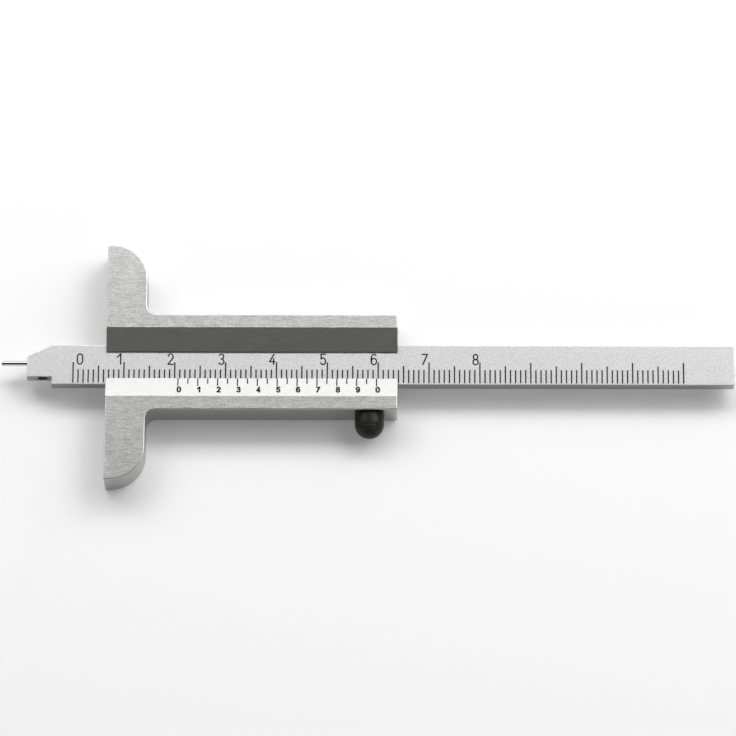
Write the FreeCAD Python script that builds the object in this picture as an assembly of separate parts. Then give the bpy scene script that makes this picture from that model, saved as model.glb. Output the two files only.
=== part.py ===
import FreeCAD, Part
import math
import os

# A small vernier depth gauge, lying on its back. Millimetres.
# X runs along the beam: 0 is the bridge's measuring face, and the pin points to minus X.
# Y runs along the bridge: 0 is the beam's centre line, and the vernier and button are at minus Y.
# Z is 0 on the back of the slider, and the scales look towards plus Z.

# Bridge and slider, milled from one piece of steel
bridge_length = 48.8
bridge_width = 7.9
slider_length = 57.3
slider_width = 19.8
slider_thickness = 6.8
wing_corner_radius = 6.9
wing_root_radius = 2.0
rear_corner_radius = 0.6
face_corner_radius = 0.3
edge_break = 0.2

# Window in the front, with a sloped bank on each side of it, and set over towards the vernier
rail_flat_width = 2.73
window_width = 5.6
window_shift = 0.15
bank_depth = 1.6
lip_thickness = 0.26

# Beam
beam_width = 8.2
beam_thickness = 2.5
beam_length = 139.1
beam_edge_break = 0.12
beam_end_radius = 0.45
running_clearance = 0.04

# Nose of the beam, with a taper above and a notch below
nose_length = 4.9
taper_drop = 2.15
nose_corner_length = 0.35
nose_corner_drop = 0.35
notch_depth = 1.55

# Measuring pin and the screw that holds it
pin_diameter = 1.0
pin_length = 13.8
pin_overhang = 5.1
pin_offset = 0.65
pin_tip_break = 0.12
pin_screw_diameter = 2.0
pin_screw_length = 1.6
pin_screw_from_nose = 3.15
pin_screw_mouth = 0.08

# Scales, as fine grooves
reading_at_rest = 20.7
scale_zero_from_tip = 14.2
scale_top = 120
scale_pitch = 1.0
marks_per_middle_line = 5
marks_per_long_line = 10
line_width = 0.17
line_depth = 0.06
line_foot = 0.33
line_length_one = 2.77
line_length_five = 3.57
line_length_ten = 4.3
vernier_parts = 20
vernier_span = 39.0
vernier_long = 1.95
vernier_short = 1.4

# Guide strip along the beam's upper edge, with its two adjusting screws
strip_thickness = 0.9
strip_start = 4.0
strip_to_bolt = 2.9
strip_end_play = 0.1
strip_back_play = 0.04
strip_screw_diameter = 2.0
strip_screw_inset = 8.0
strip_screw_sink = 0.25

# Clamping bolt across the slider, with its spring and plug
bolt_diameter = 3.2
bolt_from_rear = 5.5
bolt_height = 3.3
bolt_clearance = 0.03
bolt_head = 0.9
bolt_spigot_diameter = 2.2
bolt_spigot_length = 2.6
bolt_under_beam = 0.1
clamp_gap = 0.02
press_travel = 0.7
press_reserve = 0.1
spring_wire = 0.35
wire_sides = 7
spring_coils = 4
spring_room = 3.4
spring_side_play = 0.25
spring_peg_diameter = 1.5
spring_peg_length = 0.6
plug_diameter = 4.0
plug_sink = 0.25

# Push button
button_diameter = 5.75
button_reach = 4.8
button_clearance = 0.1
button_set_in = 0.1
button_rings = 6
ring_step = 11.0
ring_first = 8.0
ring_half_angle = 2.6
ring_depth = 0.07

# End stop under the beam
stop_head_diameter = 3.0
stop_head_height = 1.0
stop_shank_diameter = 1.6
stop_shank_length = 1.8
stop_from_end = 5.3

# Small parts shared by the screws
thread_gap = 0.02
driver_slot_width = 0.4
driver_slot_depth = 0.45

# Places worked out from the sizes above
beam_half = beam_width / 2
slider_half = slider_width / 2
window_low_y = -window_width / 2 - window_shift
window_high_y = window_width / 2 - window_shift
bank_half = slider_half - rail_flat_width
lip_front = slider_thickness - bank_depth
slot_top = lip_front - lip_thickness
beam_front = slot_top - running_clearance
beam_back = beam_front - beam_thickness
slot_floor = beam_back - running_clearance
slot_half = beam_half + running_clearance
beam_middle = beam_back + beam_thickness / 2
pin_tip_x = -reading_at_rest
nose_x = pin_tip_x + pin_overhang
notch_x = nose_x + nose_length
beam_end_x = nose_x + beam_length
scale_zero_x = pin_tip_x + scale_zero_from_tip
vernier_zero_x = scale_zero_x + reading_at_rest
notch_floor_y = -beam_half + notch_depth
strip_front_y = beam_half + running_clearance
strip_back_y = strip_front_y + strip_thickness
pocket_wall_y = strip_back_y + strip_back_play
bolt_x = slider_length - bolt_from_rear
strip_end = bolt_x - bolt_diameter / 2 - strip_to_bolt
button_floor_y = -slider_half + press_travel + press_reserve + button_set_in
button_back_y = -slider_half + button_set_in
bolt_top_y = beam_half + clamp_gap + bolt_head
plug_seat_y = bolt_top_y + spring_room
bolt_notch_low_y = -beam_half - press_travel - press_reserve
bolt_notch_z = beam_back - bolt_under_beam
stop_x = beam_end_x - stop_from_end

# How far a cutting shape runs past the face that it opens
OVERCUT = 1.0


def vector(x, y, z):
    """A point or a direction."""
    return FreeCAD.Vector(x, y, z)


def block(x_low, x_high, y_low, y_high, z_low, z_high):
    """A box given by its two corners."""
    size = (x_high - x_low, y_high - y_low, z_high - z_low)
    return Part.makeBox(*size, vector(x_low, y_low, z_low))


def rod_along_x(diameter, x_low, x_high, y, z):
    """A round rod that runs along the beam."""
    return Part.makeCylinder(diameter / 2, x_high - x_low, vector(x_low, y, z), vector(1, 0, 0))


def rod_along_y(diameter, x, y_low, y_high, z):
    """A round rod that runs across the slider."""
    return Part.makeCylinder(diameter / 2, y_high - y_low, vector(x, y_low, z), vector(0, 1, 0))


def rod_along_z(diameter, x, y, z_low, z_high):
    """A round rod that stands on the back."""
    return Part.makeCylinder(diameter / 2, z_high - z_low, vector(x, y, z_low), vector(0, 0, 1))


def extruded(corners, direction):
    """A prism with straight sides on a closed outline of corners."""
    return Part.Face(Part.makePolygon(corners + corners[:1])).extrude(direction)


def upright_edges(solid, x, y):
    """The straight edges of a plate that stand at one corner of its outline."""
    found = []
    for edge in solid.Edges:
        box = edge.BoundBox
        upright = box.ZLength > box.XLength + box.YLength
        if upright and abs(box.XMin - x) < 1e-4 and abs(box.YMin - y) < 1e-4:
            found.append(edge)
    return found


def rim_edges(solid, height):
    """The edges that lie all in a plate's back face or all in its front face."""
    found = []
    for edge in solid.Edges:
        box = edge.BoundBox
        if abs(box.ZMin - height) < 1e-4 and abs(box.ZMax - height) < 1e-4:
            found.append(edge)
    return found


def rims_broken(plate, back, front, size):
    """A plate with its front rim rounded, and its back rim chamfered, by the same size."""
    plate = plate.makeFillet(size, rim_edges(plate, front))
    return plate.makeChamfer(size, rim_edges(plate, back))


def driver_slot_across_y(x, y_outer, z, diameter, outward):
    """The cut that makes a driver slot in the end of a screw along Y."""
    y_inner = y_outer - outward * driver_slot_depth
    y_beyond = y_outer + outward * OVERCUT
    reach = diameter / 2 + OVERCUT
    half_width = driver_slot_width / 2
    y_low = min(y_inner, y_beyond)
    y_high = max(y_inner, y_beyond)
    return block(x - reach, x + reach, y_low, y_high, z - half_width, z + half_width)


def tee_plate():
    """The bridge and slider as a plain plate with its corners and edges rounded."""
    wing_y = bridge_length / 2
    corners = [
        vector(0, -wing_y, 0),
        vector(bridge_width, -wing_y, 0),
        vector(bridge_width, -slider_half, 0),
        vector(slider_length, -slider_half, 0),
        vector(slider_length, slider_half, 0),
        vector(bridge_width, slider_half, 0),
        vector(bridge_width, wing_y, 0),
        vector(0, wing_y, 0),
    ]
    plate = extruded(corners, vector(0, 0, slider_thickness))
    rounds = [
        (bridge_width, wing_y, wing_corner_radius),
        (bridge_width, slider_half, wing_root_radius),
        (slider_length, slider_half, rear_corner_radius),
        (0.0, wing_y, face_corner_radius),
    ]
    for x, y, radius in rounds:
        plate = plate.makeFillet(radius, upright_edges(plate, x, y) + upright_edges(plate, x, -y))
    return rims_broken(plate, 0.0, slider_thickness, edge_break)


def slot_and_window():
    """The space that the beam slides in, open to the front between the two sloped banks."""
    y_z = [
        (-bank_half, slider_thickness),
        (window_low_y, lip_front),
        (window_low_y, slot_top),
        (-slot_half, slot_top),
        (-slot_half, slot_floor),
        (slot_half, slot_floor),
        (slot_half, slot_top),
        (window_high_y, slot_top),
        (window_high_y, lip_front),
        (bank_half, slider_thickness),
        (bank_half, slider_thickness + OVERCUT),
        (-bank_half, slider_thickness + OVERCUT),
    ]
    corners = [vector(-OVERCUT, y, z) for y, z in y_z]
    return extruded(corners, vector(slider_length + 2 * OVERCUT, 0, 0))


def strip_screw_places():
    """Where the two adjusting screws stand along the guide strip."""
    return [strip_start + strip_screw_inset, strip_end - strip_screw_inset]


def guide_strip_space():
    """The pocket of the guide strip and the threaded holes behind it."""
    pocket = block(
        strip_start - strip_end_play,
        strip_end + strip_end_play,
        0.0,
        pocket_wall_y,
        slot_floor,
        slot_top,
    )
    bore = strip_screw_diameter + 2 * thread_gap
    holes = [rod_along_y(bore, x, 0.0, slider_half + OVERCUT, beam_middle) for x in strip_screw_places()]
    return pocket.fuse(holes)


def bolt_space():
    """The cross bore of the bolt, with the button's recess and the plug's threaded mouth."""
    bore = rod_along_y(bolt_diameter + 2 * bolt_clearance, bolt_x, button_floor_y, plug_seat_y, bolt_height)
    recess_diameter = button_diameter + 2 * button_clearance
    recess = rod_along_y(recess_diameter, bolt_x, -slider_half - OVERCUT, button_floor_y, bolt_height)
    mouth_diameter = plug_diameter + 2 * thread_gap
    mouth = rod_along_y(mouth_diameter, bolt_x, plug_seat_y, slider_half + OVERCUT, bolt_height)
    return bore.fuse([recess, mouth])


def vernier_lines():
    """The vernier's grooves, which run up the lower bank from the window's edge."""
    bank_angle = math.degrees(math.atan2(bank_depth, bank_half + window_low_y))
    lines = []
    for index in range(vernier_parts + 1):
        length = vernier_short if index % 2 else vernier_long
        x = vernier_zero_x + index * vernier_span / vernier_parts
        half_width = line_width / 2
        line = block(-half_width, half_width, -length, line_depth, -line_depth, line_depth)
        line.rotate(vector(0, 0, 0), vector(1, 0, 0), -bank_angle)
        line.translate(vector(x, window_low_y, lip_front))
        lines.append(line)
    return Part.makeCompound(lines)


def make_bridge_slider():
    """The T-shaped bridge and slider, with everything that is cut into it."""
    body = tee_plate()
    for space in (slot_and_window(), guide_strip_space(), bolt_space(), vernier_lines()):
        body = body.cut(space)
    return body


def make_guide_strip():
    """The bronze strip that takes up the beam's side play."""
    return block(
        strip_start,
        strip_end,
        strip_front_y,
        strip_back_y,
        slot_floor + running_clearance,
        slot_top - running_clearance,
    )


def make_strip_screws():
    """The two slotted set screws that press on the guide strip."""
    screws = []
    outer = slider_half - strip_screw_sink
    for x in strip_screw_places():
        screw = rod_along_y(strip_screw_diameter, x, strip_back_y, outer, beam_middle)
        slot = driver_slot_across_y(x, outer, beam_middle, strip_screw_diameter, 1)
        screws.append(screw.cut(slot))
    return Part.makeCompound(screws)


def make_spring_plug():
    """The slotted threaded plug that closes the cross bore and holds the spring."""
    outer = slider_half - plug_sink
    plug = rod_along_y(plug_diameter, bolt_x, plug_seat_y, outer, bolt_height)
    return plug.cut(driver_slot_across_y(bolt_x, outer, bolt_height, plug_diameter, 1))


def coil_point(turns):
    """A point on the spring's centre line, after so many turns from the bolt's end."""
    coil_radius = bolt_diameter / 2 + bolt_clearance - spring_side_play - spring_wire / 2
    angle = 2 * math.pi * turns
    rise = (spring_room - spring_wire) * turns / spring_coils
    y = bolt_top_y + spring_wire / 2 + rise
    return vector(bolt_x + coil_radius * math.cos(angle), y, bolt_height + coil_radius * math.sin(angle))


def wire_section(centre, direction):
    """The spring wire's outline, square to the wire. Its many sides keep the coil's faces few."""
    inward = direction.cross(vector(0, 1, 0)).normalize()
    upward = direction.cross(inward)
    corners = []
    for index in range(wire_sides):
        angle = 2 * math.pi * index / wire_sides
        corners.append(centre + (inward * math.cos(angle) + upward * math.sin(angle)) * (spring_wire / 2))
    return Part.makePolygon(corners + corners[:1])


def make_lock_spring():
    """The coil spring between the bolt's end and the plug, as one unbroken wire in quarter turns."""
    quarters = []
    for index in range(4 * spring_coils):
        turn_points = [coil_point((index + part) / 4) for part in (0.0, 0.5, 1.0)]
        quarters.append(Part.Arc(*turn_points).toShape())
    start = quarters[0].tangentAt(quarters[0].FirstParameter)
    section = wire_section(coil_point(0), start)
    return Part.Wire(quarters).makePipeShell([section], True, False)


def make_lock_bolt():
    """The cross bolt, notched so that the beam passes over its tongue."""
    bolt = rod_along_y(bolt_diameter, bolt_x, button_back_y, bolt_top_y, bolt_height)
    spigot_end_y = button_back_y - bolt_spigot_length
    spigot = rod_along_y(bolt_spigot_diameter, bolt_x, spigot_end_y, button_back_y, bolt_height)
    peg = rod_along_y(spring_peg_diameter, bolt_x, bolt_top_y, bolt_top_y + spring_peg_length, bolt_height)
    reach = bolt_diameter / 2 + OVERCUT
    notch = block(
        bolt_x - reach,
        bolt_x + reach,
        bolt_notch_low_y,
        beam_half + clamp_gap,
        bolt_notch_z,
        bolt_height + reach,
    )
    return bolt.cut(notch).fuse([spigot, peg]).removeSplitter()


def dome_point(angle, depth):
    """A point of the button's profile, at an angle from the dome's widest ring and below its skin."""
    radius = button_diameter / 2
    dome_y = -slider_half - button_reach + radius
    reach = radius - depth
    across = bolt_x + reach * math.cos(math.radians(angle))
    along = dome_y - reach * math.sin(math.radians(angle))
    return vector(across, along, bolt_height)


def dome_arc(angle_low, angle_high):
    """A stretch of the dome's round profile between two turned rings."""
    angles = (angle_low, (angle_low + angle_high) / 2, angle_high)
    return Part.Arc(*[dome_point(angle, 0.0) for angle in angles]).toShape()


def make_lock_button():
    """The domed push button, turned in one piece with fine rings for grip, on a socket for the bolt."""
    back_centre = vector(bolt_x, button_back_y, bolt_height)
    back_rim = vector(bolt_x + button_diameter / 2, button_back_y, bolt_height)
    profile = [Part.makeLine(back_centre, back_rim), Part.makeLine(back_rim, dome_point(0.0, 0.0))]
    angle = 0.0
    for index in range(button_rings):
        middle = ring_first + index * ring_step
        low = middle - ring_half_angle
        high = middle + ring_half_angle
        valley = dome_point(middle, ring_depth)
        profile.append(dome_arc(angle, low))
        profile.append(Part.makeLine(dome_point(low, 0.0), valley))
        profile.append(Part.makeLine(valley, dome_point(high, 0.0)))
        angle = high
    profile.append(dome_arc(angle, 90.0))
    profile.append(Part.makeLine(dome_point(90.0, 0.0), back_centre))
    button = Part.Face(Part.Wire(profile)).revolve(back_centre, vector(0, 1, 0), 360)
    socket_end_y = button_back_y - bolt_spigot_length - thread_gap
    socket_diameter = bolt_spigot_diameter + 2 * thread_gap
    socket = rod_along_y(socket_diameter, bolt_x, socket_end_y, button_back_y + OVERCUT, bolt_height)
    return button.cut(socket)


def beam_plate():
    """The beam's outline with its tapered and notched nose, and its edges broken."""
    corner_y = beam_half - taper_drop
    outline = [
        (nose_x, notch_floor_y),
        (notch_x, notch_floor_y),
        (notch_x, -beam_half),
        (beam_end_x, -beam_half),
        (beam_end_x, beam_half),
        (notch_x, beam_half),
        (nose_x + nose_corner_length, corner_y),
        (nose_x, corner_y - nose_corner_drop),
    ]
    corners = [vector(x, y, beam_back) for x, y in outline]
    plate = extruded(corners, vector(0, 0, beam_thickness))
    end_edges = upright_edges(plate, beam_end_x, beam_half) + upright_edges(plate, beam_end_x, -beam_half)
    plate = plate.makeFillet(beam_end_radius, end_edges)
    return rims_broken(plate, beam_back, beam_front, beam_edge_break)


def main_scale_lines():
    """The grooves of the millimetre scale."""
    lines = []
    foot_y = -beam_half + line_foot
    low = beam_front - line_depth
    high = beam_front + OVERCUT
    for mark in range(scale_top + 1):
        length = line_length_one
        if mark % marks_per_middle_line == 0:
            length = line_length_five
        if mark % marks_per_long_line == 0:
            length = line_length_ten
        left = scale_zero_x + mark * scale_pitch - line_width / 2
        lines.append(block(left, left + line_width, foot_y, foot_y + length, low, high))
    return Part.makeCompound(lines)


def make_beam():
    """The sliding beam with its scale, the pin's bore and the two screw holes."""
    screw_x = nose_x + pin_screw_from_nose
    pin_bore_end = pin_tip_x + pin_length + thread_gap
    pin_bore = rod_along_x(
        pin_diameter + 2 * thread_gap, nose_x - OVERCUT, pin_bore_end, pin_offset, beam_middle
    )
    screw_bore = rod_along_y(
        pin_screw_diameter + 2 * thread_gap, screw_x, notch_floor_y - OVERCUT, pin_offset, beam_middle
    )
    bore_radius = pin_screw_diameter / 2 + thread_gap
    mouth = Part.makeCone(
        bore_radius + pin_screw_mouth,
        bore_radius,
        pin_screw_mouth,
        vector(screw_x, notch_floor_y, beam_middle),
        vector(0, 1, 0),
    )
    stop_bore = rod_along_z(
        stop_shank_diameter + 2 * thread_gap,
        stop_x,
        0.0,
        beam_back - OVERCUT,
        beam_back + stop_shank_length + thread_gap,
    )
    return beam_plate().cut([pin_bore, screw_bore, mouth, stop_bore]).cut(main_scale_lines())


def make_measuring_pin():
    """The round measuring pin, with the edges of its ends broken."""
    pin = rod_along_x(pin_diameter, pin_tip_x, pin_tip_x + pin_length, pin_offset, beam_middle)
    rims = [edge for edge in pin.Edges if isinstance(edge.Curve, Part.Circle)]
    return pin.makeChamfer(pin_tip_break, rims)


def make_pin_screw():
    """The slotted set screw in the nose that clamps the measuring pin."""
    x = nose_x + pin_screw_from_nose
    y_tip = pin_offset - pin_diameter / 2
    y_outer = y_tip - pin_screw_length
    screw = rod_along_y(pin_screw_diameter, x, y_outer, y_tip, beam_middle)
    return screw.cut(driver_slot_across_y(x, y_outer, beam_middle, pin_screw_diameter, -1))


def make_end_stop_screw():
    """The screw under the beam's end that keeps the beam from leaving the slider."""
    head = rod_along_z(stop_head_diameter, stop_x, 0.0, beam_back - stop_head_height, beam_back)
    shank = rod_along_z(stop_shank_diameter, stop_x, 0.0, beam_back, beam_back + stop_shank_length)
    reach = stop_head_diameter
    slot_roof = beam_back - stop_head_height + driver_slot_depth
    half_width = driver_slot_width / 2
    slot = block(stop_x - half_width, stop_x + half_width, -reach, reach, 0.0, slot_roof)
    return head.fuse(shank).cut(slot)


PIECES = {
    "bridge_slider": make_bridge_slider,
    "guide_strip": make_guide_strip,
    "strip_screws": make_strip_screws,
    "spring_plug": make_spring_plug,
    "lock_spring": make_lock_spring,
    "lock_bolt": make_lock_bolt,
    "lock_button": make_lock_button,
    "beam": make_beam,
    "measuring_pin": make_measuring_pin,
    "pin_screw": make_pin_screw,
    "end_stop_screw": make_end_stop_screw,
}


def main():
    """Write each piece to its own file, and say how many solids it has."""
    os.makedirs("parts", exist_ok=True)
    for name, make in PIECES.items():
        shape = make()
        shape.exportStep(os.path.join("parts", name + ".step"))
        solids = shape.Solids
        volume = sum(solid.Volume for solid in solids)
        print(f"{name}: {len(solids)} solids, {volume:.2f} mm3, valid {shape.isValid()}")


main()
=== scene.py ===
"""A small vernier depth gauge of satin steel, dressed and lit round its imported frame."""

import logging
import math
from dataclasses import dataclass
from enum import Enum
from typing import Callable, Sequence

import bmesh
import bpy
from mathutils import Matrix, Vector


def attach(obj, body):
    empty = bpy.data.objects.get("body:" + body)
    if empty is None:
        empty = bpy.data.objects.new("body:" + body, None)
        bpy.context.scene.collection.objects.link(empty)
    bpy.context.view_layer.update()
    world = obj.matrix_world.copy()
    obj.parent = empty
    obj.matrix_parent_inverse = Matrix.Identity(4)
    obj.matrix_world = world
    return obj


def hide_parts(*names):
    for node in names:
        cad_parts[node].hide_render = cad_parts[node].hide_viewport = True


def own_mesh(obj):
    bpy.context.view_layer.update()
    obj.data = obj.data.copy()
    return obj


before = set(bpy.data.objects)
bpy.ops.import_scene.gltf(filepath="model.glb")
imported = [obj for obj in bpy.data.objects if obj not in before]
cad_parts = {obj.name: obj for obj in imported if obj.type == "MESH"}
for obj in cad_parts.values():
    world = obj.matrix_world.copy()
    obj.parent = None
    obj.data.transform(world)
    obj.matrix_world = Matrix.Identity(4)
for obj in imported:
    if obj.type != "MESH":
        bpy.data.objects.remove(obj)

MM = 0.001
LOG = logging.getLogger("depth_gauge")

Point = tuple[float, float]

# Height of a face's normal, from 0 when it is upright to 1 when it is level. Between the two values a wide
# face's finish takes over from an upright one's, whose darker colour is partly painted shade.
UPRIGHT_TO_WIDE: Point = (0.55, 0.85)
# The sloped banks lie under the first value, and the level faces over the second.
BANK_TO_LEVEL: Point = (0.945, 0.985)
# Share of the worked pattern that the faces have that aren't level.
BANK_PATTERN = 0.33
# Size of the soft mottling, as a multiple of the spacing of the grinding lines.
MOTTLE_RATIO = 1.3
# How far the roughness of a surface that isn't metal goes up and down.
DULL_SWING = 0.08
# Turn from point to point along a number's arcs, and how many steps the half circle at a stroke's end has.
ARC_STEP_DEGREES = 12.0
LEAST_ARC_STEPS = 4
END_STEPS = 6


def linear_colour(hex_code: str) -> tuple[float, float, float, float]:
    """Turn an sRGB hex colour into Blender's linear colour.

    Args:
        hex_code: Six hexadecimal digits, with or without a leading hash.

    Returns:
        Linear red, green, blue and an alpha of 1.
    """
    digits = hex_code.lstrip("#")
    channels = [int(digits[start : start + 2], 16) / 255.0 for start in (0, 2, 4)]
    linear = [c / 12.92 if c <= 0.04045 else ((c + 0.055) / 1.055) ** 2.4 for c in channels]
    return linear[0], linear[1], linear[2], 1.0


def add_node(
    tree: bpy.types.NodeTree,
    kind: str,
    settings: dict[str, object] | None = None,
    links: dict[str | int, object] | None = None,
) -> bpy.types.Node:
    """Add one node to a tree, with its settings and inputs.

    Args:
        tree: The node tree that gets the node.
        kind: The node's Blender type name.
        settings: Attributes of the node itself.
        links: Inputs by name or number. A socket is linked, and anything else is set as the value.

    Returns:
        The new node.
    """
    node = tree.nodes.new(kind)
    for name, value in (settings or {}).items():
        setattr(node, name, value)
    for name, value in (links or {}).items():
        if isinstance(value, bpy.types.NodeSocket):
            tree.links.new(value, node.inputs[name])
        else:
            node.inputs[name].default_value = value
    return node


def new_material(name: str) -> tuple[bpy.types.Material, bpy.types.NodeTree, bpy.types.Node]:
    """Make an empty node material with an output.

    Args:
        name: The material's name.

    Returns:
        The material, its node tree and its output node.
    """
    material = bpy.data.materials.new(name)
    material.use_nodes = True
    tree = material.node_tree
    tree.nodes.clear()
    output = add_node(tree, "ShaderNodeOutputMaterial")
    return material, tree, output


class Grain(Enum):
    """Which way the fine lines of a metal surface run, as the stretch of its pattern along X, Y and Z."""

    ALONG_BEAM = (0.10, 1.0, 1.0)
    ACROSS_BEAM = (1.0, 0.10, 1.0)
    NONE = (1.0, 1.0, 1.0)


@dataclass(frozen=True)
class MetalFinish:
    """Bare metal with a worked surface.

    Attributes:
        name: The material's name.
        colour: Middle reflected colour as sRGB hex.
        roughness: Middle roughness of the surface.
        grain_mm: Spacing of the grinding lines or of the matt mottling.
        grain: Direction of the grinding lines.
        roughness_swing: How far the roughness goes up and down with the pattern.
        bump_um: Height of the pattern in micrometres.
        tint_swing: How far the colour goes up and down with the pattern, as a share of it.
        upright_colour_and_shade: Reflected colour of the faces that stand upright, as sRGB hex. Where it is
            darker than colour, part of the difference is painted shade.
        edge_roughness: Roughness of the faces that stand upright.
    """

    name: str
    colour: str
    roughness: float
    grain_mm: float
    grain: Grain
    roughness_swing: float
    bump_um: float
    tint_swing: float
    upright_colour_and_shade: str
    edge_roughness: float

    @staticmethod
    def facing_up(tree: bpy.types.NodeTree, heights: Point, least: float = 0.0) -> bpy.types.NodeSocket:
        """How much a surface looks up or down, from the height of its normal.

        Args:
            tree: The material's node tree.
            heights: Heights of the normal at which the share is least and at which it is 1.
            least: The least share.

        Returns:
            The socket that carries the share.
        """
        normal = add_node(tree, "ShaderNodeTexCoord").outputs["Normal"]
        upward = add_node(tree, "ShaderNodeSeparateXYZ", links={"Vector": normal}).outputs["Z"]
        height = add_node(tree, "ShaderNodeMath", {"operation": "ABSOLUTE"}, {0: upward}).outputs["Value"]
        return add_node(
            tree,
            "ShaderNodeMapRange",
            links={"Value": height, "From Min": heights[0], "From Max": heights[1], "To Min": least},
        ).outputs["Result"]

    def pattern(self, tree: bpy.types.NodeTree) -> tuple[bpy.types.NodeSocket, bpy.types.NodeSocket]:
        """Lay the grinding lines and the soft mottling on Object coordinates.

        Args:
            tree: The material's node tree.

        Returns:
            The sockets of the lines alone and of the lines with the mottling.
        """
        place = add_node(tree, "ShaderNodeTexCoord").outputs["Object"]
        stretched = add_node(
            tree, "ShaderNodeMapping", links={"Vector": place, "Scale": Vector(self.grain.value)}
        ).outputs["Vector"]
        lines = add_node(
            tree,
            "ShaderNodeTexNoise",
            links={
                "Vector": stretched,
                "Scale": 1.0 / (self.grain_mm * MM),
                "Detail": 3.0,
                "Roughness": 0.6,
            },
        ).outputs["Fac"]
        clouds = add_node(
            tree,
            "ShaderNodeTexNoise",
            links={"Vector": place, "Scale": 1.0 / (MOTTLE_RATIO * self.grain_mm * MM), "Detail": 4.0},
        ).outputs["Fac"]
        both = add_node(
            tree, "ShaderNodeMath", {"operation": "ADD"}, {0: lines, 1: clouds}
        ).outputs["Value"]
        return lines, both

    def worked_colour(
        self, tree: bpy.types.NodeTree, pattern: bpy.types.NodeSocket, level: bpy.types.NodeSocket
    ) -> bpy.types.NodeSocket:
        """Colour a wide face from dim to bright with its pattern.

        Args:
            tree: The material's node tree.
            pattern: The lines with the mottling.
            level: Share of the pattern that a face has.

        Returns:
            The socket that carries the colour.
        """
        middle = linear_colour(self.colour)[:3]
        bright = tuple(min(1.0, channel * (1.0 + self.tint_swing)) for channel in middle) + (1.0,)
        dim = tuple(channel * (1.0 - self.tint_swing) for channel in middle) + (1.0,)
        swing = add_node(
            tree, "ShaderNodeMapRange", links={"Value": pattern, "From Min": 0.7, "From Max": 1.3}
        ).outputs["Result"]
        share = add_node(
            tree, "ShaderNodeMix", links={"Factor": level, "A": 0.5, "B": swing}
        ).outputs["Result"]
        return add_node(
            tree, "ShaderNodeMix", {"data_type": "RGBA"}, {"Factor": share, 6: dim, 7: bright}
        ).outputs[2]

    def material(self) -> bpy.types.Material:
        """Build the metal's node material.

        Returns:
            The finished material.
        """
        material, tree, output = new_material(self.name)
        lines, pattern = self.pattern(tree)
        # The sum of the two noises lies mostly between 0.6 and 1.4.
        roughness = add_node(
            tree,
            "ShaderNodeMapRange",
            links={
                "Value": pattern,
                "From Min": 0.6,
                "From Max": 1.4,
                "To Min": self.roughness - self.roughness_swing,
                "To Max": self.roughness + self.roughness_swing,
            },
        ).outputs["Result"]
        # The level faces have the whole pattern and the others a third of it, which upright faces show in
        # their bump alone.
        level = self.facing_up(tree, BANK_TO_LEVEL, BANK_PATTERN)
        worked = self.worked_colour(tree, pattern, level)
        wide = self.facing_up(tree, UPRIGHT_TO_WIDE)
        # The upright faces take the upright colour, which is partly painted shade where it is darker than
        # the worked colour.
        edge = linear_colour(self.upright_colour_and_shade)
        colour = add_node(
            tree, "ShaderNodeMix", {"data_type": "RGBA"}, {"Factor": wide, 6: edge, 7: worked}
        ).outputs[2]
        sheen = add_node(
            tree, "ShaderNodeMix", links={"Factor": wide, "A": self.edge_roughness, "B": roughness}
        ).outputs[0]
        bump = add_node(
            tree,
            "ShaderNodeBump",
            links={"Height": lines, "Distance": self.bump_um * MM * MM, "Strength": level},
        ).outputs["Normal"]
        shader = add_node(
            tree,
            "ShaderNodeBsdfPrincipled",
            links={"Base Color": colour, "Metallic": 1.0, "Roughness": sheen, "Normal": bump},
        )
        tree.links.new(shader.outputs["BSDF"], output.inputs["Surface"])
        return material


@dataclass(frozen=True)
class DullFinish:
    """A surface that isn't metal, such as moulded plastic or scale paint.

    Attributes:
        name: The material's name.
        colour: Colour as sRGB hex.
        roughness: Middle roughness.
        speck_mm: Size of the fine unevenness.
        bump_um: Height of the unevenness in micrometres.
        gloss: Strength of the mirror-like part, where 0.5 is plain plastic.
    """

    name: str
    colour: str
    roughness: float
    speck_mm: float
    bump_um: float
    gloss: float

    def material(self) -> bpy.types.Material:
        """Build the node material on Object coordinates.

        Returns:
            The finished material.
        """
        material, tree, output = new_material(self.name)
        place = add_node(tree, "ShaderNodeTexCoord").outputs["Object"]
        specks = add_node(
            tree,
            "ShaderNodeTexNoise",
            links={"Vector": place, "Scale": 1.0 / (self.speck_mm * MM), "Detail": 3.0},
        ).outputs["Fac"]
        roughness = add_node(
            tree,
            "ShaderNodeMapRange",
            links={
                "Value": specks,
                "To Min": self.roughness - DULL_SWING,
                "To Max": self.roughness + DULL_SWING,
            },
        ).outputs["Result"]
        bump = add_node(
            tree,
            "ShaderNodeBump",
            links={"Height": specks, "Distance": self.bump_um * MM * MM, "Strength": 1.0},
        ).outputs["Normal"]
        shader = add_node(
            tree,
            "ShaderNodeBsdfPrincipled",
            links={
                "Base Color": linear_colour(self.colour),
                "Roughness": roughness,
                "Specular IOR Level": self.gloss,
                "Normal": bump,
            },
        )
        tree.links.new(shader.outputs["BSDF"], output.inputs["Surface"])
        return material


# Hardened stainless, ground to a soft grey sheen with fine lines along the slider. The narrow upright faces
# look smoother, and their darker colour is partly the ground steel's own and partly painted shade.
# The real lines are a few hundredths of a millimetre apart, and they are drawn as coarse as they need to be
# to show.
BRIDGE_STEEL = MetalFinish(
    name="satin_stainless_bridge",
    colour="CCCCCA",
    roughness=0.36,
    grain_mm=0.19,
    grain=Grain.ALONG_BEAM,
    roughness_swing=0.05,
    bump_um=0.8,
    tint_swing=0.27,
    # Darker than the wide faces' colour, partly as painted shade on the upright faces.
    upright_colour_and_shade="B0B0AE",
    edge_roughness=0.24,
)
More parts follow.
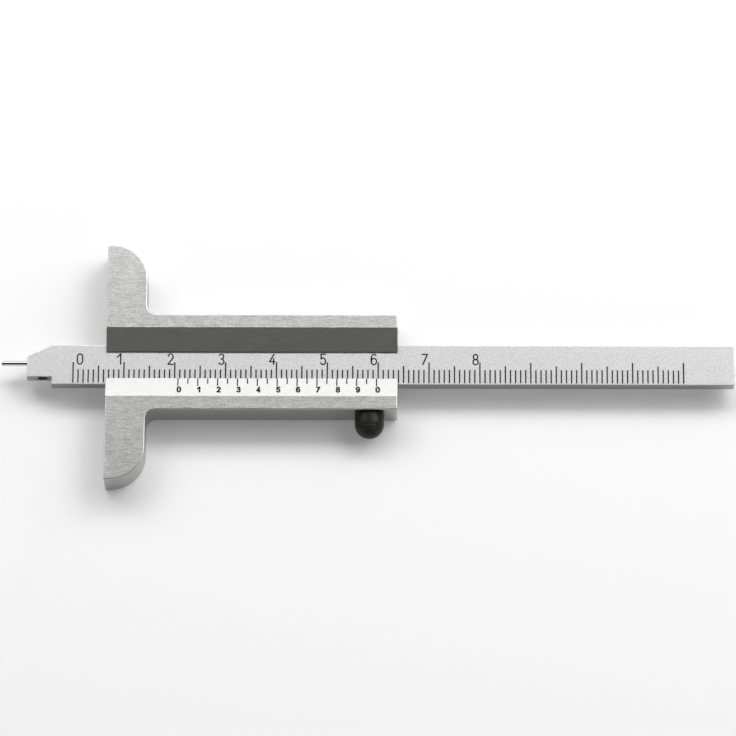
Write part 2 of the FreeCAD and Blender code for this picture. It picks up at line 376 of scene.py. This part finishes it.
# The beam's scale side is satin chromed, so it is paler and more even, and its edges are only ground.
# The edges' darker colour is partly painted shade.
BEAM_STEEL = MetalFinish(
    name="satin_chromed_beam",
    colour="DBDBDB",
    roughness=0.38,
    grain_mm=0.19,
    grain=Grain.NONE,
    roughness_swing=0.04,
    bump_um=0.7,
    tint_swing=0.22,
    # Darker than the scale side's colour, partly as painted shade on the upright faces.
    upright_colour_and_shade="A8A8A6",
    edge_roughness=0.24,
)
# Screws and plug are turned from plain steel and left bright.
SCREW_STEEL = MetalFinish(
    name="turned_screw_steel",
    colour="B9B9B6",
    roughness=0.30,
    grain_mm=0.12,
    grain=Grain.ACROSS_BEAM,
    roughness_swing=0.05,
    bump_um=0.5,
    tint_swing=0.08,
    upright_colour_and_shade="B9B9B6",
    edge_roughness=0.30,
)
# The nose screw sits deep in its hole, and its near-black colour is painted shade of the hole.
PIN_SCREW_PAINTED_SHADE = MetalFinish(
    name="screw_steel_painted_shade",
    colour="202020",
    roughness=0.45,
    grain_mm=0.12,
    grain=Grain.NONE,
    roughness_swing=0.05,
    bump_um=0.5,
    tint_swing=0.10,
    upright_colour_and_shade="141414",
    edge_roughness=0.45,
)
# The bolt is ground, and the spring is drawn wire.
BOLT_STEEL = MetalFinish(
    name="ground_bolt_steel",
    colour="C4C4C1",
    roughness=0.25,
    grain_mm=0.10,
    grain=Grain.ACROSS_BEAM,
    roughness_swing=0.04,
    bump_um=0.4,
    tint_swing=0.06,
    upright_colour_and_shade="C4C4C1",
    edge_roughness=0.25,
)
SPRING_WIRE = MetalFinish(
    name="drawn_spring_wire",
    colour="A8A8A6",
    roughness=0.28,
    grain_mm=0.10,
    grain=Grain.NONE,
    roughness_swing=0.04,
    bump_um=0.4,
    tint_swing=0.06,
    upright_colour_and_shade="A8A8A6",
    edge_roughness=0.28,
)
# Phosphor bronze strip, ground flat.
STRIP_BRONZE = MetalFinish(
    name="ground_bronze_strip",
    colour="B07F4A",
    roughness=0.35,
    grain_mm=0.20,
    grain=Grain.ALONG_BEAM,
    roughness_swing=0.05,
    bump_um=0.5,
    tint_swing=0.08,
    upright_colour_and_shade="B07F4A",
    edge_roughness=0.30,
)
# The pin is ground and polished, so it mirrors its surroundings.
PIN_STEEL = MetalFinish(
    name="polished_pin_steel",
    colour="C6C6C4",
    roughness=0.05,
    grain_mm=0.08,
    grain=Grain.ACROSS_BEAM,
    roughness_swing=0.02,
    bump_um=0.02,
    tint_swing=0.02,
    upright_colour_and_shade="C6C6C4",
    edge_roughness=0.05,
)
# Moulded black plastic with turned rings, slightly shiny from the mould.
BUTTON_PLASTIC = DullFinish(
    name="moulded_black_plastic",
    colour="14140F",
    roughness=0.40,
    speck_mm=0.25,
    bump_um=1.5,
    gloss=0.25,
)
# Baked black filling in the engraved lines and numbers.
SCALE_PAINT = DullFinish(
    name="baked_scale_paint",
    colour="1C1C1B",
    roughness=0.6,
    speck_mm=0.10,
    bump_um=0.5,
    gloss=0.3,
)


def finish_mesh(
    name: str, mesh: bpy.types.Mesh, material: bpy.types.Material, body: str
) -> bpy.types.Object:
    """Put a finished mesh in the scene, on its body and with its finish.

    Args:
        name: The piece's name.
        mesh: The mesh, in metres in the frame's axes.
        material: The finish.
        body: The CAD body that the piece rides on.

    Returns:
        The new object, at the origin.
    """
    mesh.name = name
    mesh.materials.clear()
    mesh.materials.append(material)
    piece = bpy.data.objects.new(name, mesh)
    bpy.context.scene.collection.objects.link(piece)
    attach(piece, body)
    LOG.info("%s: %d faces on %s", name, len(mesh.polygons), body)
    return piece


def dress(node: str, material: bpy.types.Material) -> None:
    """Give a CAD node its finish.

    Args:
        node: The node's name in the frame.
        material: The finish.
    """
    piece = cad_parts[node]
    if not piece.material_slots:
        piece.data.materials.append(material)
    for holder in piece.material_slots:
        holder.material = material
    LOG.info("%s: dressed in %s", node, material.name)


@dataclass(frozen=True)
class MarkRow:
    """A row of scale lines whose lengths follow a rule.

    Attributes:
        count: How many lines.
        pitch: Distance from line to line, in mm.
        width: Width of a line, in mm.
        thickness: Thickness of the paint, in mm.
        short: Length of a plain line, in mm.
        middle: Length of every line whose number divides by middle_step.
        long: Length of every line whose number divides by long_step.
        middle_step: How often a middle line comes.
        long_step: How often a long line comes.
    """

    count: int
    pitch: float
    width: float
    thickness: float
    short: float
    middle: float
    long: float
    middle_step: int
    long_step: int

    def tree(self) -> bpy.types.NodeTree:
        """Build the Geometry Nodes tree that lays the lines along X, each one from its foot up.

        Returns:
            The node group, with named inputs for its sizes.
        """
        group = bpy.data.node_groups.new("scale_lines", "GeometryNodeTree")
        group.interface.new_socket("Geometry", in_out="OUTPUT", socket_type="NodeSocketGeometry")
        floats = ("Pitch", "Width", "Thickness", "Short", "Middle", "Long")
        whole = ("Count", "Middle Step", "Long Step")
        for label in floats:
            group.interface.new_socket(label, in_out="INPUT", socket_type="NodeSocketFloat")
        for label in whole:
            group.interface.new_socket(label, in_out="INPUT", socket_type="NodeSocketInt")
        group.interface.new_socket("Paint", in_out="INPUT", socket_type="NodeSocketMaterial")
        given = add_node(group, "NodeGroupInput").outputs
        offset = add_node(group, "ShaderNodeCombineXYZ", links={"X": given["Pitch"]}).outputs["Vector"]
        places = add_node(
            group, "GeometryNodeMeshLine", links={"Count": given["Count"], "Offset": offset}
        ).outputs["Mesh"]
        number = add_node(group, "GeometryNodeInputIndex").outputs["Index"]
        length = given["Short"]
        for step, longer in (("Middle Step", "Middle"), ("Long Step", "Long")):
            left = add_node(
                group, "FunctionNodeIntegerMath", {"operation": "MODULO"}, {0: number, 1: given[step]}
            ).outputs["Value"]
            divides = add_node(
                group,
                "FunctionNodeCompare",
                {"data_type": "INT", "operation": "EQUAL"},
                {"A": left, "B": 0},
            ).outputs["Result"]
            length = add_node(
                group,
                "GeometryNodeSwitch",
                {"input_type": "FLOAT"},
                {"Switch": divides, "False": length, "True": given[longer]},
            ).outputs["Output"]
        size = add_node(
            group,
            "ShaderNodeCombineXYZ",
            links={"X": given["Width"], "Y": length, "Z": given["Thickness"]},
        ).outputs["Vector"]
        cube = add_node(group, "GeometryNodeMeshCube", links={"Size": (1.0, 1.0, 1.0)}).outputs["Mesh"]
        on_foot = add_node(
            group, "GeometryNodeTransform", links={"Geometry": cube, "Translation": (0.0, 0.5, 0.5)}
        ).outputs["Geometry"]
        lines = add_node(
            group,
            "GeometryNodeInstanceOnPoints",
            links={"Points": places, "Instance": on_foot, "Scale": size},
        ).outputs["Instances"]
        real = add_node(
            group, "GeometryNodeRealizeInstances", links={"Geometry": lines}
        ).outputs["Geometry"]
        painted = add_node(
            group, "GeometryNodeSetMaterial", links={"Geometry": real, "Material": given["Paint"]}
        ).outputs["Geometry"]
        add_node(group, "NodeGroupOutput", links={"Geometry": painted})
        return group

    def mesh(self, paint: bpy.types.Material, place: Matrix) -> bpy.types.Mesh:
        """Run the tree once and keep its result as a plain mesh.

        Args:
            paint: The lines' material.
            place: Where the row's first foot goes, and which way the row lies, in metres.

        Returns:
            The mesh of the whole row.
        """
        group = self.tree()
        carrier = bpy.data.objects.new("row_carrier", bpy.data.meshes.new("row_carrier"))
        bpy.context.scene.collection.objects.link(carrier)
        modifier = carrier.modifiers.new("scale_lines", "NODES")
        modifier.node_group = group
        values = {
            "Pitch": self.pitch * MM,
            "Width": self.width * MM,
            "Thickness": self.thickness * MM,
            "Short": self.short * MM,
            "Middle": self.middle * MM,
            "Long": self.long * MM,
            "Count": self.count,
            "Middle Step": self.middle_step,
            "Long Step": self.long_step,
            "Paint": paint,
        }
        for item in group.interface.items_tree:
            if item.in_out == "INPUT":
                modifier[item.identifier] = values[item.name]
        evaluated = carrier.evaluated_get(bpy.context.evaluated_depsgraph_get())
        mesh = bpy.data.meshes.new_from_object(evaluated)
        bpy.data.objects.remove(carrier)
        mesh.transform(place)
        return mesh


@dataclass(frozen=True)
class Stroke:
    """One stroke of a number: a straight line or part of an ellipse, in a box one wide and one high.

    Attributes:
        points: The ends of a straight line, or the ellipse's centre and its two radii.
        angles: Start and end angle of the ellipse in degrees, or None for a straight line.
    """

    points: tuple[Point, Point]
    angles: Point | None = None

    def path(self, width: float, height: float) -> list[Vector]:
        """The stroke's centre line at the number's real size.

        Args:
            width: Width of the box in metres.
            height: Height of the box in metres.

        Returns:
            Points from one end of the stroke to the other.
        """
        (first_x, first_y), (second_x, second_y) = self.points
        if self.angles is None:
            ends = ((first_x, first_y), (second_x, second_y))
            return [Vector((x * width, y * height)) for x, y in ends]
        start, end = self.angles
        steps = max(LEAST_ARC_STEPS, round(abs(end - start) / ARC_STEP_DEGREES))
        turned = [math.radians(start + (end - start) * step / steps) for step in range(steps + 1)]
        unit = [(first_x + second_x * math.cos(a), first_y + second_y * math.sin(a)) for a in turned]
        return [Vector((x * width, y * height)) for x, y in unit]


def line(x_0: float, y_0: float, x_1: float, y_1: float) -> Stroke:
    """A straight stroke from one point to another."""
    return Stroke(((x_0, y_0), (x_1, y_1)))


def bow(x: float, y: float, r_x: float, r_y: float, start: float, end: float) -> Stroke:
    """A bowed stroke round a centre, with two radii and two angles."""
    return Stroke(((x, y), (r_x, r_y)), (start, end))


NUMERALS: dict[str, tuple[Stroke, ...]] = {
    "0": (
        bow(0.5, 0.68, 0.5, 0.32, 0, 180),
        line(0.0, 0.68, 0.0, 0.32),
        bow(0.5, 0.32, 0.5, 0.32, 180, 360),
        line(1.0, 0.32, 1.0, 0.68),
    ),
    "1": (line(0.78, 0.0, 0.78, 1.0), line(0.78, 1.0, 0.12, 0.68)),
    "2": (bow(0.5, 0.71, 0.46, 0.29, 168, -32), line(0.89, 0.556, 0.0, 0.0), line(0.0, 0.0, 1.0, 0.0)),
    "3": (bow(0.48, 0.755, 0.42, 0.245, 155, -90), bow(0.48, 0.255, 0.5, 0.255, 90, -155)),
    "4": (line(0.84, 1.0, 0.0, 0.26), line(0.0, 0.26, 1.0, 0.26), line(0.76, 0.55, 0.76, 0.0)),
    "5": (
        line(0.92, 1.0, 0.14, 1.0),
        line(0.14, 1.0, 0.08, 0.56),
        bow(0.46, 0.32, 0.5, 0.32, 138, -150),
    ),
    "6": (
        bow(0.5, 0.30, 0.5, 0.30, 0, 360),
        line(0.0, 0.30, 0.0, 0.62),
        bow(0.5, 0.62, 0.5, 0.38, 180, 45),
    ),
    "7": (line(0.0, 1.0, 1.0, 1.0), line(1.0, 1.0, 0.12, 0.0)),
    "8": (bow(0.5, 0.755, 0.43, 0.245, 0, 360), bow(0.5, 0.26, 0.5, 0.26, 0, 360)),
    "9": (
        bow(0.5, 0.70, 0.5, 0.30, 0, 360),
        line(1.0, 0.70, 1.0, 0.38),
        bow(0.5, 0.38, 0.5, 0.38, 0, -135),
    ),
}


@dataclass(frozen=True)
class NumberStyle:
    """How the numbers of a scale are cut.

    Attributes:
        height: Height over all, in mm.
        width: Width over all, in mm.
        stroke: Width of a stroke, in mm.
        thickness: Thickness of the paint, in mm.
        sunk: How far the paint goes below the surface, in mm.
    """

    height: float
    width: float
    stroke: float
    thickness: float
    sunk: float

    def outline(self, path: Sequence[Vector]) -> list[Vector]:
        """The outline of a stroke with round ends.

        Args:
            path: The stroke's centre line in metres.

        Returns:
            The outline's corners, anticlockwise.
        """
        half = self.stroke * MM / 2.0
        # A path that comes back to its start, such as a ring of the eight, has no ends to round.
        closed = (path[0] - path[-1]).length < half / 10.0
        headings = []
        for index in range(len(path)):
            before = path[index - 1] if index else (path[-2] if closed else path[0])
            after = path[index + 1] if index + 1 < len(path) else (path[1] if closed else path[-1])
            headings.append((after - before).normalized())
        right = [p + Vector((h.y, -h.x)) * half for p, h in zip(path, headings)]
        left = [p - Vector((h.y, -h.x)) * half for p, h in zip(path, headings)]
        corners = list(right)
        corners += self.round_end(path[-1], headings[-1], half) if not closed else []
        corners += reversed(left)
        corners += self.round_end(path[0], -headings[0], half) if not closed else []
        return corners

    @staticmethod
    def round_end(middle: Vector, heading: Vector, half: float) -> list[Vector]:
        """The half circle that ends a stroke, from its right side to its left side.

        Args:
            middle: End of the centre line.
            heading: Direction in which the stroke ends.
            half: Half the stroke's width.

        Returns:
            The half circle's inner points.
        """
        start = math.atan2(-heading.x, heading.y)
        turned = [start + math.pi * step / END_STEPS for step in range(1, END_STEPS)]
        return [middle + Vector((math.cos(a), math.sin(a))) * half for a in turned]

    def add_number(
        self, mesh: bmesh.types.BMesh, digit: str, place: Callable[[float, float, float], Vector]
    ) -> None:
        """Add one number to a mesh as thin closed strokes.

        Args:
            mesh: The mesh that gets the strokes.
            digit: The number's sign.
            place: Turns a point of the number's box into a place on the object, in metres.
        """
        box_width = (self.width - self.stroke) * MM
        box_height = (self.height - self.stroke) * MM
        inset = self.stroke * MM / 2.0
        low = -self.sunk * MM
        high = (self.thickness - self.sunk) * MM
        for stroke in NUMERALS[digit]:
            path = stroke.path(box_width, box_height)
            self.add_stroke(mesh, path, inset, low, high, place)

    def add_stroke(
        self,
        mesh: bmesh.types.BMesh,
        path: Sequence[Vector],
        inset: float,
        low: float,
        high: float,
        place: Callable[[float, float, float], Vector],
    ) -> None:
        """Add one stroke as a closed band with a top, a bottom and sides.

        Args:
            mesh: The mesh that gets the stroke.
            path: The stroke's centre line in the number's box.
            inset: How far the box lies inside the number's outer edge.
            low: Height of the bottom.
            high: Height of the top.
            place: Turns a point of the number's box into a place on the object.
        """
        corners = self.outline(path)
        floor = [mesh.verts.new(place(c.x + inset, c.y + inset, low)) for c in corners]
        roof = [mesh.verts.new(place(c.x + inset, c.y + inset, high)) for c in corners]
        count = len(corners)
        for index in range(count):
            after = (index + 1) % count
            mesh.faces.new((floor[index], floor[after], roof[after], roof[index]))
        self.fill(mesh, roof, len(path), False)
        self.fill(mesh, floor, len(path), True)

    @staticmethod
    def fill(mesh: bmesh.types.BMesh, rim: list[bmesh.types.BMVert], steps: int, flipped: bool) -> None:
        """Fill a stroke's rim with a strip of faces, and its round ends with a fan.

        Args:
            mesh: The mesh that gets the faces.
            rim: The rim's corners, anticlockwise seen from above.
            steps: Number of points along the centre line.
            flipped: True for the bottom, which faces down.
        """
        caps = (len(rim) - 2 * steps) // 2
        right = rim[:steps]
        left = list(reversed(rim[steps + caps : 2 * steps + caps]))
        polygons = [
            (right[index], right[index + 1], left[index + 1], left[index]) for index in range(steps - 1)
        ]
        if caps:
            polygons.append(tuple([right[-1]] + rim[steps : steps + caps] + [left[-1]]))
            polygons.append(tuple([left[0]] + rim[2 * steps + caps :] + [right[0]]))
        for polygon in polygons:
            mesh.faces.new(tuple(reversed(polygon)) if flipped else polygon)


@dataclass
class Beam:
    """The sliding beam with its millimetre scale and measuring pin.

    Attributes:
        scale_zero_x: Place of the scale's zero line, in mm.
        foot_y: Foot of the scale's lines, in mm.
        front_z: Height of the beam's scale side, in mm.
        number_foot_y: Foot of the numbers, in mm.
        number_pitch: Distance from number to number, in mm.
        number_gap: Gap between a number's right edge and the middle of its line, in mm.
        zero_shift: How far the zero's left edge stands to the right of the middle of its line, in mm.
        one_shift: How much further left the one stands, in mm.
        paint_proud: How far the lines' paint stands above the surface, in mm.
        body: The CAD body that the scale rides on.
        marks: The scale's lines.
        style: How the numbers are cut.
        numbers: The numbers, from left to right.
    """

    scale_zero_x: float = -6.5
    foot_y: float = -3.77
    front_z: float = 4.9
    number_foot_y: float = -0.06
    number_pitch: float = 10.0
    number_gap: float = 0.19
    zero_shift: float = 0.66
    one_shift: float = 0.12
    paint_proud: float = 0.006
    body: str = "beam_group"
    marks: MarkRow = MarkRow(
        count=121,
        pitch=1.0,
        width=0.285,
        thickness=0.04,
        short=2.77,
        middle=3.57,
        long=4.3,
        middle_step=5,
        long_step=10,
    )
    style: NumberStyle = NumberStyle(height=2.44, width=1.3, stroke=0.28, thickness=0.02, sunk=0.012)
    numbers: str = "012345678"

    def build(self, paint: bpy.types.Material) -> None:
        """Make the scale's paint: its lines and its numbers.

        Args:
            paint: The scale's black paint.
        """
        paint_foot_z = self.front_z + self.paint_proud - self.marks.thickness
        foot = Vector((self.scale_zero_x, self.foot_y, paint_foot_z))
        lines = self.marks.mesh(paint, Matrix.Translation(foot * MM))
        finish_mesh("main_scale_lines", lines, paint, self.body)
        mesh = bmesh.new()
        for index, digit in enumerate(self.numbers):
            mark_x = self.scale_zero_x + self.number_pitch * index
            left_x = mark_x - self.number_gap - self.style.width
            if digit == "0":
                left_x = mark_x + self.zero_shift
            if digit == "1":
                left_x -= self.one_shift
            corner = Vector((left_x, self.number_foot_y, self.front_z)) * MM
            self.style.add_number(mesh, digit, lambda x, y, z, c=corner: c + Vector((x, y, z)))
        numbers = bpy.data.meshes.new("main_scale_numbers")
        mesh.to_mesh(numbers)
        mesh.free()
        finish_mesh("main_scale_numbers", numbers, paint, self.body)

    def dress(self) -> None:
        """Give the beam's CAD pieces their finishes."""
        dress("beam", BEAM_STEEL.material())
        dress("measuring_pin", PIN_STEEL.material())
        # The pin screw's near-black colour is painted shade of its deep hole.
        dress("pin_screw", PIN_SCREW_PAINTED_SHADE.material())
        dress("end_stop_screw", SCREW_STEEL.material())


@dataclass
class Bridge:
    """The bridge and slider with the vernier on its lower bank.

    Attributes:
        vernier_zero_x: Place of the vernier's zero line, in mm.
        lip_y: Edge of the window on the vernier's side, in mm.
        lip_z: Height of the bank at that edge, in mm.
        bank_rise: Height that the bank gains over its width, in mm.
        bank_run: Width of the bank, in mm.
        number_from_lip: Distance of the numbers' top from the window's edge, up the slope, in mm.
        number_shift: How far the numbers stand to the right of their lines, in mm.
        number_step: How many lines there are from number to number.
        paint_proud: How far the lines' paint stands above the surface, in mm.
        body: The CAD body that the vernier rides on.
        marks: The vernier's lines, laid towards -X and turned round.
        style: How the numbers are cut.
        numbers: The numbers, from left to right.
    """

    vernier_zero_x: float = 14.2
    lip_y: float = -2.95
    lip_z: float = 5.2
    bank_rise: float = 1.6
    bank_run: float = 4.22
    number_from_lip: float = 2.08
    number_shift: float = 0.24
    number_step: int = 2
    paint_proud: float = 0.006
    body: str = "bridge"
    marks: MarkRow = MarkRow(
        count=21,
        pitch=-1.95,
        width=0.25,
        thickness=0.04,
        short=1.4,
        middle=1.95,
        long=1.95,
        middle_step=2,
        long_step=2,
    )
    style: NumberStyle = NumberStyle(height=1.58, width=0.92, stroke=0.36, thickness=0.02, sunk=0.012)
    numbers: str = "01234567890"

    def bank_place(self) -> Matrix:
        """The bank's own axes: X along the beam, Y down the slope to the window, Z out of the bank.

        Returns:
            The matrix from the bank's axes to the frame, in metres.
        """
        edge = Matrix.Translation(Vector((self.vernier_zero_x, self.lip_y, self.lip_z)) * MM)
        return edge @ Matrix.Rotation(-math.atan2(self.bank_rise, self.bank_run), 4, "X")

    def build(self, paint: bpy.types.Material) -> None:
        """Make the vernier's paint: its lines and its numbers.

        Args:
            paint: The scale's black paint.
        """
        low = (self.paint_proud - self.marks.thickness) * MM
        bank = self.bank_place()
        row = bank @ Matrix.Translation((0.0, 0.0, low)) @ Matrix.Rotation(math.pi, 4, "Z")
        lines = self.marks.mesh(paint, row)
        finish_mesh("vernier_lines", lines, paint, self.body)
        pitch = abs(self.marks.pitch) * self.number_step
        mesh = bmesh.new()
        for index, digit in enumerate(self.numbers):
            left_x = index * pitch + self.number_shift - self.style.width / 2.0
            corner = Vector((left_x, -self.number_from_lip - self.style.height, 0.0)) * MM
            self.style.add_number(mesh, digit, lambda x, y, z, c=corner: bank @ (c + Vector((x, y, z))))
        numbers = bpy.data.meshes.new("vernier_numbers")
        mesh.to_mesh(numbers)
        mesh.free()
        finish_mesh("vernier_numbers", numbers, paint, self.body)

    def dress(self) -> None:
        """Give the bridge's CAD pieces their finishes."""
        dress("bridge_slider", BRIDGE_STEEL.material())
        dress("guide_strip", STRIP_BRONZE.material())
        screws = SCREW_STEEL.material()
        dress("strip_screws", screws)
        dress("spring_plug", screws)


@dataclass
class Lock:
    """The push-button lock: the cross bolt, the domed button on its end, and the spring that it presses.

    Attributes:
        press: How far the button goes in, in mm. Not used.
        joint: The joint that the button moves on. Not used.
        spring_body: The CAD body that the spring's fixed end rests on.
        merge_gap: Corners of the wire closer than this are one, in mm.
    """

    press: float = 0.7
    joint: str = "button_press"
    spring_body: str = "bridge"
    merge_gap: float = 0.001

    def build(self) -> None:
        """Make the coil spring as a merged, smooth-shaded copy of the CAD spring, and hide the CAD one."""
        smooth = bmesh.new()
        smooth.from_mesh(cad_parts["lock_spring"].data)
        bmesh.ops.remove_doubles(smooth, verts=smooth.verts, dist=self.merge_gap * MM)
        for face in smooth.faces:
            face.smooth = True
        mesh = bpy.data.meshes.new("coil_spring")
        smooth.to_mesh(mesh)
        smooth.free()
        wire = SPRING_WIRE.material()
        spring = finish_mesh("coil_spring", mesh, wire, self.spring_body)
        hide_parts("lock_spring")
        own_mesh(spring)

    def dress(self) -> None:
        """Give the lock's CAD pieces their finishes."""
        dress("lock_bolt", BOLT_STEEL.material())
        dress("lock_button", BUTTON_PLASTIC.material())


@dataclass(frozen=True)
class Lamp:
    """A large soft lamp that looks at the gauge.

    Attributes:
        name: The lamp's name.
        azimuth: Its direction round the gauge, in degrees from +Y towards +X.
        zenith: Its angle from straight above, in degrees.
        distance: How far it hangs from the gauge, in metres.
        size: Its width and height, in metres.
        radiance: How bright its face is, in watts for each square metre and steradian.
    """

    name: str
    azimuth: float
    zenith: float
    distance: float
    size: Point
    radiance: float

    def hang(self, centre: Vector) -> None:
        """Hang the lamp in the scene.

        Args:
            centre: The point that it looks at, in metres.
        """
        round_about, down = math.radians(self.azimuth), math.radians(self.zenith)
        flat = math.sin(down)
        heading = Vector((flat * math.sin(round_about), flat * math.cos(round_about), math.cos(down)))
        data = bpy.data.lights.new(self.name, "AREA")
        data.shape = "RECTANGLE"
        data.size, data.size_y = self.size
        data.energy = self.radiance * math.pi * data.size * data.size_y
        lamp = bpy.data.objects.new(self.name, data)
        bpy.context.scene.collection.objects.link(lamp)
        lamp.location = centre + heading * self.distance
        lamp.rotation_euler = (-heading).to_track_quat("-Z", "Y").to_euler()
        lamp.visible_camera = False


@dataclass
class Studio:
    """The pale floor, the soft light and the camera.

    Attributes:
        focal_px: Focal length in pixels of the photograph's frame.
        frame_px: Width of the photograph's frame in pixels.
        face_px_per_mm: Pixels per mm at the frame's origin.
        tilt: How far the camera stands below the face's normal, towards -Y, in degrees.
        turn: How far the camera stands to the side, in degrees.
        roll: Roll of the camera, in degrees.
        aim_x: Sideways place of the frame's origin in the camera's axes, in mm.
        aim_y: Upward place of the frame's origin in the camera's axes, in mm.
        sensor_mm: Width of the camera's sensor, in mm.
        room_light: Strength of the even light from all sides.
        horizon_light: Strength of the pale band that stands round the horizon.
        horizon_top: Height of the band's upper edge, as the sine of its angle.
        horizon_full: Height under which the band has its whole strength.
        floor_colour: The floor's paint as sRGB hex.
        floor_white: Share of plain white in the floor where it is seen.
        floor_z: Height of the floor, in mm, just clear of the gauge's back.
        floor_half: Half the floor's width, in metres.
        lamp_aim: Place that the lamps look at, in metres.
        lamps: The soft lamps.
    """

    focal_px: float = 5500.0
    frame_px: float = 736.0
    face_px_per_mm: float = 5.0616
    tilt: float = 19.79
    turn: float = -0.50
    roll: float = -0.103
    aim_x: float = -51.46
    aim_y: float = -0.978
    sensor_mm: float = 36.0
    room_light: float = 0.095
    horizon_light: float = 0.9
    horizon_top: float = 0.20
    horizon_full: float = 0.07
    floor_colour: str = "F8F8F8"
    floor_white: float = 0.12
    floor_z: float = -0.02
    floor_half: float = 3.0
    lamp_aim: tuple[float, float, float] = (0.05, 0.0, 0.0)
    lamps: tuple[Lamp, ...] = (
        Lamp(
            name="main_strip",
            azimuth=0.0,
            zenith=42.0,
            distance=0.7,
            size=(1.26, 0.245),
            radiance=4.4,
        ),
        Lamp(name="rear_strip", azimuth=0.0, zenith=63.0, distance=1.1, size=(2.0, 0.5), radiance=0.66),
        Lamp(
            name="left_softbox",
            azimuth=-60.0,
            zenith=52.0,
            distance=1.3,
            size=(1.1, 1.0),
            radiance=1.1,
        ),
        Lamp(
            name="right_softbox",
            azimuth=60.0,
            zenith=52.0,
            distance=1.3,
            size=(1.1, 1.0),
            radiance=2.9,
        ),
        # This weak one keeps the gauge from looking black from behind.
        Lamp(name="front_fill", azimuth=180.0, zenith=70.0, distance=1.2, size=(2.2, 0.6), radiance=0.5),
    )

    def camera(self) -> None:
        """Make the camera at the photograph's viewing angle."""
        data = bpy.data.cameras.new("camera")
        data.sensor_width = self.sensor_mm
        data.lens = self.focal_px / self.frame_px * self.sensor_mm
        data.clip_start = 0.01
        data.clip_end = 100.0
        camera = bpy.data.objects.new("camera", data)
        bpy.context.scene.collection.objects.link(camera)
        to_camera = (
            Matrix.Rotation(math.radians(self.roll), 3, "Z")
            @ Matrix.Rotation(math.radians(self.turn), 3, "Y")
            @ Matrix.Rotation(-math.radians(self.tilt), 3, "X")
        )
        distance = self.focal_px / self.face_px_per_mm
        spot = to_camera.transposed() @ Vector((-self.aim_x, -self.aim_y, distance)) * MM
        camera.matrix_world = Matrix.Translation(spot) @ to_camera.transposed().to_4x4()
        bpy.context.scene.camera = camera

    def floor(self) -> None:
        """Lay the pale floor under the gauge."""
        material, tree, output = new_material("white_painted_board")
        # Matt white paint on board: it scatters all light alike and has no gloss.
        board = add_node(tree, "ShaderNodeBsdfDiffuse", links={"Color": linear_colour(self.floor_colour)})
        # Where it is seen, in metal and glass too, part of it is plain white, so the gauge's shadow stays
        # on it but looks softer. The scattered light that it throws on the gauge is the board's own.
        ray = add_node(tree, "ShaderNodeLightPath").outputs
        seen = ray["Is Camera Ray"]
        for other in ("Is Glossy Ray", "Is Transmission Ray"):
            seen = add_node(
                tree, "ShaderNodeMath", {"operation": "MAXIMUM"}, {0: seen, 1: ray[other]}
            ).outputs["Value"]
        share = add_node(
            tree, "ShaderNodeMath", {"operation": "MULTIPLY"}, {0: seen, 1: self.floor_white}
        ).outputs["Value"]
        white = add_node(tree, "ShaderNodeEmission", links={"Strength": 1.0})
        both = add_node(
            tree,
            "ShaderNodeMixShader",
            links={"Fac": share, 1: board.outputs["BSDF"], 2: white.outputs["Emission"]},
        )
        tree.links.new(both.outputs["Shader"], output.inputs["Surface"])
        half = self.floor_half
        z = self.floor_z * MM
        mesh = bpy.data.meshes.new("floor")
        corners = [(-half, -half, z), (half, -half, z), (half, half, z), (-half, half, z)]
        mesh.from_pydata(corners, [], [(0, 1, 2, 3)])
        mesh.materials.append(material)
        floor = bpy.data.objects.new("floor", mesh)
        bpy.context.scene.collection.objects.link(floor)

    def room(self) -> None:
        """Fill the room with a dim even light that turns pale towards the horizon."""
        world = bpy.data.worlds.new("room")
        bpy.context.scene.world = world
        world.use_nodes = True
        tree = world.node_tree
        tree.nodes.clear()
        heading = add_node(tree, "ShaderNodeTexCoord").outputs["Generated"]
        upward = add_node(tree, "ShaderNodeSeparateXYZ", links={"Vector": heading}).outputs["Z"]
        strength = add_node(
            tree,
            "ShaderNodeMapRange",
            {"interpolation_type": "SMOOTHSTEP"},
            {
                "Value": upward,
                "From Min": self.horizon_top,
                "From Max": self.horizon_full,
                "To Min": self.room_light,
                "To Max": self.horizon_light,
            },
        ).outputs["Result"]
        back = add_node(tree, "ShaderNodeBackground", links={"Strength": strength})
        output = add_node(tree, "ShaderNodeOutputWorld")
        tree.links.new(back.outputs["Background"], output.inputs["Surface"])

    def build(self) -> None:
        """Set up the floor, the lamps, the room light and the camera."""
        self.floor()
        for lamp in self.lamps:
            lamp.hang(Vector(self.lamp_aim))
        self.room()
        self.camera()
        bpy.context.scene.view_settings.view_transform = "Standard"
        LOG.info("studio ready")


def main() -> None:
    """Build and dress the gauge in order, then set the studio round it."""
    logging.basicConfig(level=logging.INFO, format="%(name)s: %(message)s")
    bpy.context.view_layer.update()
    paint = SCALE_PAINT.material()
    bridge = Bridge()
    bridge.dress()
    bridge.build(paint)
    beam = Beam()
    beam.dress()
    beam.build(paint)
    lock = Lock()
    lock.dress()
    lock.build()
    Studio().build()


if __name__ == "__main__":
    main()
